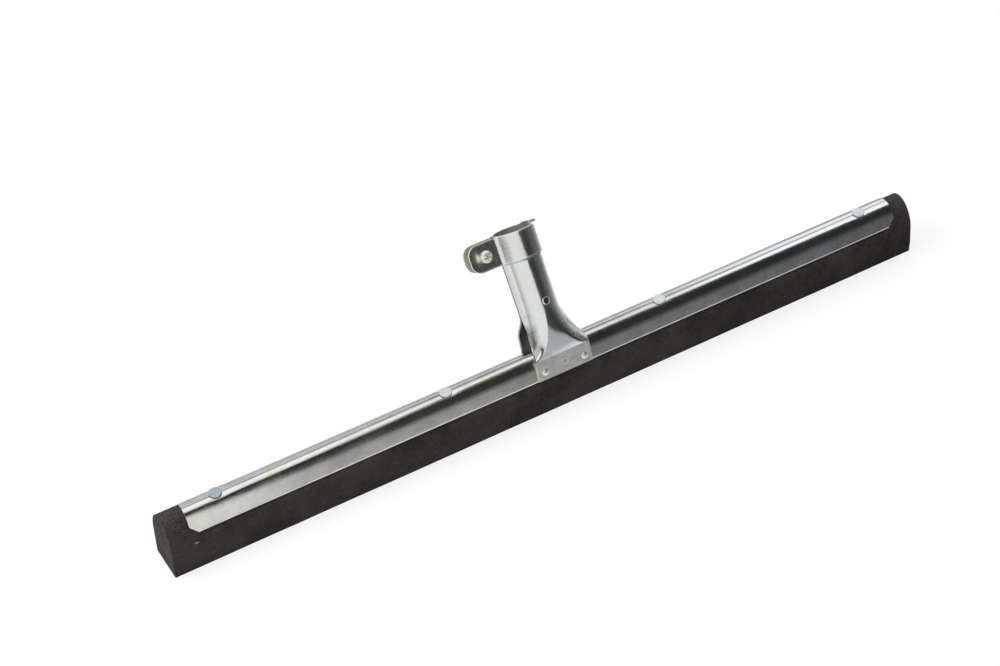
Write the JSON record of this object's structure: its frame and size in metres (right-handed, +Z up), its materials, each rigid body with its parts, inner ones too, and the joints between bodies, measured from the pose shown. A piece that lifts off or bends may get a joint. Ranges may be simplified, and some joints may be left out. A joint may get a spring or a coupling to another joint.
{
  "type": "floor squeegee head",
  "caption": "Floor squeegee head: a folded steel channel grips a doubled foam strip, and a pressed, flared handle socket with a screw clamp is riveted over it.",
  "frame": {"origin": "on the floor, under the middle of the blade, between its two lips", "axes": "+X along the blade, +Z up, and the handle socket leans back towards +Y"},
  "size_m": [0.55, 0.0754, 0.1104],
  "materials": {
    "zinc_sheet": "zinc-plated, satin",
    "zinc_socket": "zinc-plated, satin",
    "zinc_clamp": "zinc-plated with a faint yellow-green passivate",
    "zinc_screw": "zinc-plated, bright",
    "rivet_metal": "satin",
    "strip_steel": "plain, hidden",
    "foam_rubber": "matt closed-cell foam"
  },
  "bodies": {
    "squeegee": {"frame_channel": "zinc_sheet", "foam_blade": "foam_rubber", "core_strip": "strip_steel", "crown_rivet_1": "rivet_metal", "crown_rivet_2": "rivet_metal", "crown_rivet_3": "rivet_metal", "crown_rivet_4": "rivet_metal", "handle_socket": "zinc_socket", "plate_rivet_front_left": "rivet_metal", "plate_rivet_front_right": "rivet_metal", "plate_rivet_rear_left": "rivet_metal", "plate_rivet_rear_right": "rivet_metal", "clamp_band": "zinc_clamp"},
    "screw": {"clamp_screw": "zinc_screw"},
    "nut": {"clamp_nut": "zinc_screw"}
  },
  "joints": [
    {"name": "nut_travel", "type": "slide", "parent": "squeegee", "child": "nut", "axis": [0, 0.8039, -0.5948], "range_m": [0, 0.005]},
    {"name": "screw_turn", "type": "hinge", "parent": "squeegee", "child": "screw", "pos_m": [-0.0238, 0.04547, 0.09426], "axis": [0, -0.8039, 0.5948], "range_deg": [0, 2250]}
  ],
  "couplings": [
    {"joint": "screw_turn", "follows": "nut_travel", "rad_per_m": 7853.9}
  ]
}
